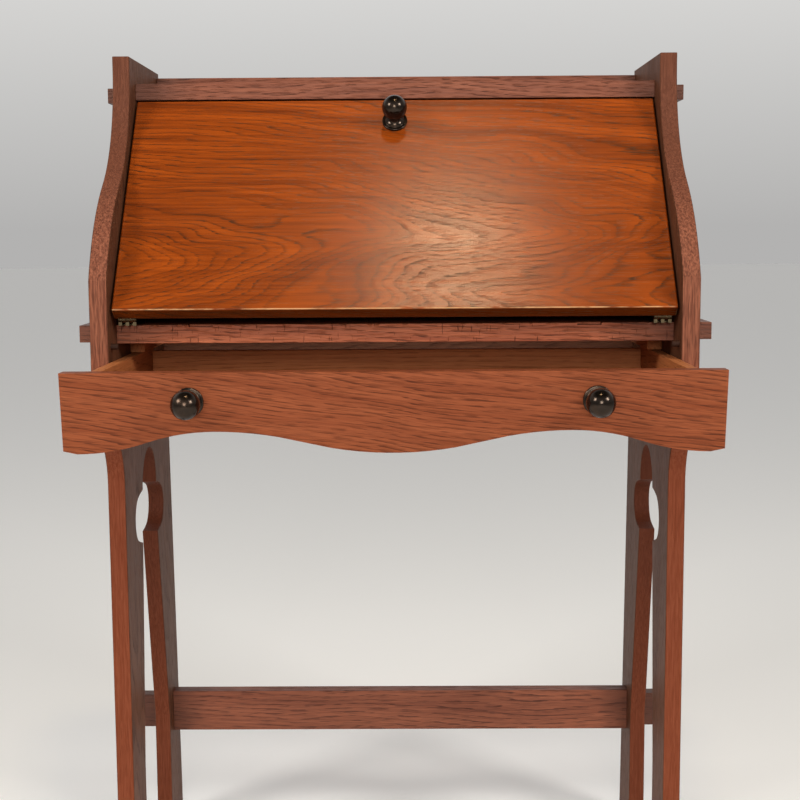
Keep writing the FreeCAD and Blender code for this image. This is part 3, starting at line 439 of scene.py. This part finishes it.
def turned_knob(name, base, outward):
    """A knob turned on the lathe: rounded disc, step, cove, neck and ball, bored for its bolt."""
    disc, disc_round, disc_height = 0.0152, 0.0010, 0.0026
    step, step_height, step_round = 0.0125, 0.0048, 0.0012
    cove, cove_height, cove_round = 0.0113, 0.0100, 0.0046
    neck, ball, ball_height = 0.0065, 0.0150, 0.0255
    bore, bore_depth = 0.0021, 0.0125
    throat = math.degrees(math.asin(neck / ball)) - 90.0
    profile = [(bore, 0.0)]
    profile += arc(disc - disc_round, disc_round, disc_round, -90, 0, 4)
    profile += arc(disc - disc_round, disc_height, disc_round, 0, 90, 4)
    profile += arc(step, step_height, step_round, 270, 180, 4)
    profile += arc(cove, cove_height, cove_round, 240, 184, 6)
    profile += arc(0.0, ball_height, ball, throat, 90, 30)[:-1]
    profile += [(0.0, ball_height + ball), (0.0, bore_depth), (bore, bore_depth)]
    bm = bmesh.new()
    verts = [bm.verts.new((radius, 0.0, height)) for radius, height in profile]
    edges = [bm.edges.new((verts[at - 1], verts[at])) for at in range(len(verts))]
    bmesh.ops.spin(bm, geom=verts + edges, cent=(0.0, 0.0, 0.0), axis=(0.0, 0.0, 1.0),
                   angle=math.radians(360), steps=64, use_merge=True)
    bmesh.ops.remove_doubles(bm, verts=bm.verts, dist=0.000005)
    bmesh.ops.dissolve_degenerate(bm, edges=bm.edges, dist=0.000001)
    bmesh.ops.recalc_face_normals(bm, faces=bm.faces)
    for face in bm.faces:
        face.smooth = True
    turn = Vector(outward).to_track_quat("Z", "Y").to_matrix().to_4x4()
    bmesh.ops.transform(bm, matrix=Matrix.Translation(base) @ turn, verts=bm.verts)
    stand_for(name, made_piece(f"{name}_turned", bm, bronze))


bronze = metal("knob_bronze", (0.030, 0.022, 0.017), (0.054, 0.034, 0.023), 0.14, metallic=0.9)
for name in ("drawer_knob_left", "drawer_knob_right"):
    low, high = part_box(name)
    turned_knob(name, ((low.x + high.x) / 2, high.y, (low.z + high.z) / 2), (0.0, -1.0, 0.0))
up_lid = Vector((0.0, math.cos(slope), math.sin(slope)))
out_of_lid = (0.0, -math.sin(slope), math.cos(slope))
knob_up_lid = 0.274
turned_knob("lid_knob", foot + up_lid * knob_up_lid, out_of_lid)


# ------------------------------------------------------------- hinges and pegs
# Two small brass butt hinges, one at each end of the lid, held by steel screws;
# steel bolts hold the knobs. Two short oak pegs stand out of the slabs, painted near
# black as painted shade, and the open lid comes down on them.
brass = metal("hinge_brass", (0.13, 0.10, 0.058), (0.07, 0.055, 0.035), 0.34)
steel = metal("fastener_steel", (0.30, 0.28, 0.25), (0.16, 0.14, 0.12), 0.35)
# The pegs are painted near black as painted shade, to sink into the dark by the bed's ends.
peg_shade_tones = ((0.060, 0.024, 0.014), (0.036, 0.014, 0.008), (0.012, 0.005, 0.003))
shaded_peg_oak = varnish(oak("shaded_peg_oak", LEVEL, (0.0, 0.0, 0.0), peg_shade_tones, gloss=0.6))
for name in nodes:
    if slot_of[name] == "hinge_brass":
        finish_node(name, brass)
    elif name.startswith("lid_stop_peg"):
        finish_node(name, shaded_peg_oak)
    elif slot_of[name] == "fastener_steel":
        finish_node(name, steel)


# ---------------------------------------------------------------------- drawer
# A full-width front with a waved lower edge on a plain box of thin oak boards;
# the front is flat-sawn and matt, with short dark pores.
front_tones = ((0.285, 0.076, 0.027), (0.19, 0.043, 0.013), (0.040, 0.008, 0.003))
front_wood = oak("drawer_front_oak", (math.radians(-90), 0.0, math.radians(6)),
                 (0.05, -0.70, -0.26), front_tones, depth=0.10, heart=0.16, tilt=0.03,
                 wander=0.02, ring=0.0036, line=0.68, pore=1.0, dash=(52.0, 860.0), gloss=0.5)
eased("drawer_front", varnish(front_wood, shine=0.12, relief=0.6), width=0.0015, shortest=0.0)
for part in ("side_left", "side_right", "bottom"):
    eased(f"drawer_{part}", inner_wood)
back_wood = oak("drawer_back_wood", (math.radians(-90), 0.0, 0.0), (0.2, -0.66, 0.0),
                inner_tones, depth=0.14, heart=0.1, tilt=0.04, ring=0.005, pore=0.5, gloss=0.6)
eased("drawer_back", varnish(back_wood))

# Steel brads tie each side to the front; their clenched points stand just proud inside.
brad_foot, brad_head, brad_proud, brad_round = 0.0014, 0.0009, 0.0005, 0.00012
sunk, behind_front = 0.00015, 0.016
bm = bmesh.new()
for hand, sign in (("left", -1), ("right", 1)):
    low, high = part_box(f"drawer_side_{hand}")
    face = high.x if sign < 0 else low.x
    for below_rim in (0.010, 0.030, 0.050):
        seat = Matrix.Translation((face - sign * sunk, low.y + behind_front, high.z - below_rim))
        seat = seat @ Matrix.Rotation(math.radians(-90 * sign), 4, "Y")
        made = bmesh.ops.create_cone(bm, cap_ends=True, segments=16, radius1=brad_foot,
                                     radius2=brad_head, depth=brad_proud, matrix=seat)
        edges = [edge for edge in bm.edges if edge.verts[0] in made["verts"]]
        bmesh.ops.bevel(bm, geom=edges, offset=brad_round, affect="EDGES", segments=2,
                        profile=0.5, material=-1, clamp_overlap=True)
brads = made_piece("drawer_brads", bm, steel)
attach(brads, "drawer")


# ----------------------------------------------------------------- letter rack
# Thin oak shelves and dividers, butted against the back panel, make pigeonholes
# at the back of the bed. One little drawer slides under the middle shelf, and a
# small brass knob pulls it out.
rack_tones = ((0.34, 0.14, 0.070), (0.22, 0.080, 0.040), (0.060, 0.022, 0.012))
rack_oak = varnish(oak("rack_oak", UPRIGHT, (0.0, 0.0, 0.0), rack_tones, depth=0.2, tilt=0.05,
                       ring=0.005, gloss=0.5))
for name in nodes:
    if name.startswith("rack_") or name.startswith("box_drawer") and name != "box_drawer_knob":
        eased(name, rack_oak, width=0.0008)


# ----------------------------------------------------------- floor and lights
# A pale floor that glows very faintly, in a room pale ahead and dim behind. A
# small warm lamp hangs overhead, a soft box stands at each side, and a wide one
# lights the front of the desk.
bm = bmesh.new()
bmesh.ops.create_grid(bm, x_segments=1, y_segments=1, size=30.0)
floor_paint = bpy.data.materials.new("floor_paint")
floor_paint.use_nodes = True
floor_shader = floor_paint.node_tree.nodes["Principled BSDF"]
floor_shader.inputs["Base Color"].default_value = (0.90, 0.895, 0.885, 1.0)
floor_shader.inputs["Roughness"].default_value = 0.9
floor_shader.inputs["Emission Color"].default_value = (1.0, 0.99, 0.98, 1.0)
floor_shader.inputs["Emission Strength"].default_value = 0.10
made_piece("floor", bm, floor_paint)

at_floor, low_wall, high_wall = (0.45, 0.445, 0.44), (0.57, 0.565, 0.555), (0.95, 0.94, 0.92)
behind_viewer, overhead_dark = (0.16, 0.16, 0.16), (0.03, 0.03, 0.03)
room = bpy.data.worlds.new("studio")
room.use_nodes = True
sky = room.node_tree
_, ahead, up = wire(sky, "SeparateXYZ", {0: wire(sky, "TexCoord").outputs["Generated"]}).outputs
walls = blend(sky, ramped(sky, up, 0.0, 0.09), (*at_floor, 1.0), (*low_wall, 1.0))
walls = blend(sky, ramped(sky, up, 0.09, 0.35), walls, (*high_wall, 1.0))
walls = blend(sky, ramped(sky, ahead, -0.1, 0.5, 0.5, 0.0), walls, (*behind_viewer, 1.0))
shell = blend(sky, ramped(sky, up, 0.6, 0.85), walls, (*overhead_dark, 1.0))
sky.links.new(shell, sky.nodes["Background"].inputs["Color"])
sky.nodes["Background"].inputs["Strength"].default_value = 1.0
bpy.context.scene.world = room


def soft_box(name, place, aim, size, power, tint):
    """A square lamp at a place, turned to face its aim; the camera doesn't see it."""
    lamp = bpy.data.lights.new(name, "AREA")
    lamp.shape = "SQUARE"
    lamp.size = size
    lamp.energy = power
    lamp.color = tint
    holder = bpy.data.objects.new(name, lamp)
    bpy.context.scene.collection.objects.link(holder)
    holder.location = place
    holder.visible_camera = False
    holder.rotation_euler = (Vector(aim) - Vector(place)).to_track_quat("-Z", "Y").to_euler()


soft_box("overhead", place=(0.13, -0.71, 3.0), aim=(0.06, -0.05, 0.85), size=0.22, power=9.5,
         tint=(1.0, 0.80, 0.50))
soft_box("left_box", place=(-2.1, -1.6, 2.2), aim=(0.0, -0.1, 0.75), size=0.8, power=40,
         tint=(1.0, 0.965, 0.91))
soft_box("right_box", place=(2.1, -1.7, 2.2), aim=(0.0, -0.1, 0.75), size=0.8, power=44,
         tint=(1.0, 0.965, 0.91))
soft_box("front_fill", place=(0.0, -4.2, 1.6), aim=(0.0, -0.1, 0.70), size=1.2, power=62,
         tint=(1.0, 0.95, 0.88))


# ---------------------------------------------------------------------- camera
# It stands in front of the desk, a hand above the writing bed, and looks slightly
# down, a little to the right of the middle.
slab_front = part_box("side_slab_left")[0].y
aside, stand_off, eye_height = 0.019, 1.5788, 0.8492
down, yaw, roll = math.radians(6.912), math.radians(0.481), math.radians(-0.358)
lens = bpy.data.cameras.new("camera")
lens.sensor_width = 36.0
lens.lens = 64.1
camera = bpy.data.objects.new("camera", lens)
bpy.context.scene.collection.objects.link(camera)
camera.location = (aside, slab_front - stand_off, eye_height)
camera.rotation_mode = "XYZ"
camera.rotation_euler = (math.radians(90) - down, 0.0, yaw)
camera.rotation_euler.rotate_axis("Z", roll)
bpy.context.scene.camera = camera
bpy.context.scene.view_settings.view_transform = "Standard"
